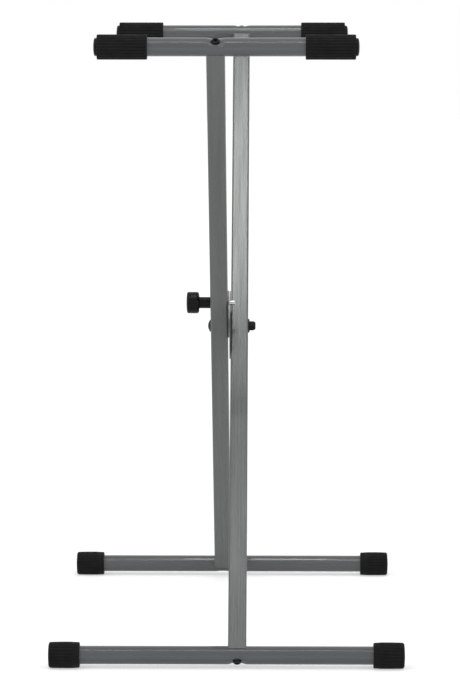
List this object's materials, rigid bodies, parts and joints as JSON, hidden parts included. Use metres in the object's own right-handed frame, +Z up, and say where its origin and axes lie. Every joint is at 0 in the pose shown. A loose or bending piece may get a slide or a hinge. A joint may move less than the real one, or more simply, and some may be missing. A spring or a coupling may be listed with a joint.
{
  "type": "folding_keyboard_stand",
  "caption": "Folding keyboard stand: crossed square steel legs on a pivot bolt, round arms and feet with ribbed rubber ends, and a spring pull pin that locks in a holed plate",
  "frame": {"origin": "on the floor, midway between the four rubber feet, straight below the pivot bolt", "axes": "+X along the arms, the feet and the pivot bolt, to the right of someone at the near side; +Y from the near side to the far side; +Z up"},
  "size_m": [0.485, 0.727, 0.8575],
  "materials": {
    "frame_paint": "satin dark grey metallic paint",
    "bright_steel": "zinc-plated steel",
    "black_steel": "black oxide steel",
    "rubber": "matte black ribbed rubber",
    "knob_plastic": "black moulded plastic",
    "spring_steel": "drawn spring wire"
  },
  "bodies": {
    "leg_a_frame": {"leg_a_tube": "frame_paint", "near_foot_tube": "frame_paint", "far_arm_tube": "frame_paint", "near_foot_cap_left": "rubber", "near_foot_cap_right": "rubber", "far_arm_sleeve_left": "rubber", "far_arm_sleeve_right": "rubber", "far_arm_plug_left": "knob_plastic", "far_arm_plug_right": "knob_plastic", "near_foot_bolt": "black_steel", "far_arm_bolt": "black_steel", "leg_a_lower_nut": "bright_steel", "leg_a_upper_nut": "bright_steel", "lock_plate": "frame_paint", "pivot_sleeve_a": "bright_steel"},
    "leg_b_frame": {"leg_b_tube": "frame_paint", "near_arm_tube": "frame_paint", "far_foot_tube": "frame_paint", "near_arm_sleeve_left": "rubber", "near_arm_sleeve_right": "rubber", "near_arm_plug_left": "knob_plastic", "near_arm_plug_right": "knob_plastic", "far_foot_cap_left": "rubber", "far_foot_cap_right": "rubber", "near_arm_bolt": "black_steel", "far_foot_bolt": "black_steel", "leg_b_upper_nut": "bright_steel", "leg_b_lower_nut": "bright_steel", "guide_plate": "frame_paint", "pivot_bolt": "black_steel", "pivot_washer": "black_steel", "pivot_nut": "black_steel", "pivot_spacer": "bright_steel", "pivot_sleeve_b": "bright_steel"},
    "pull_pin": {"pull_knob": "knob_plastic", "lock_pin": "bright_steel", "pin_clip": "bright_steel", "pin_spring": "spring_steel"}
  },
  "joints": [
    {"name": "fold", "type": "hinge", "parent": "leg_a_frame", "child": "leg_b_frame", "pos_m": [0, 0, 0.42895], "axis": [-1, 0, 0], "range_deg": [-45, 75]},
    {"name": "pin_pull", "type": "slide", "parent": "leg_b_frame", "child": "pull_pin", "axis": [-1, 0, 0], "range_m": [0, 0.011], "stiffness_N_per_m": 900, "springref_m": -0.008, "deforming": ["pin_spring"]}
  ]
}
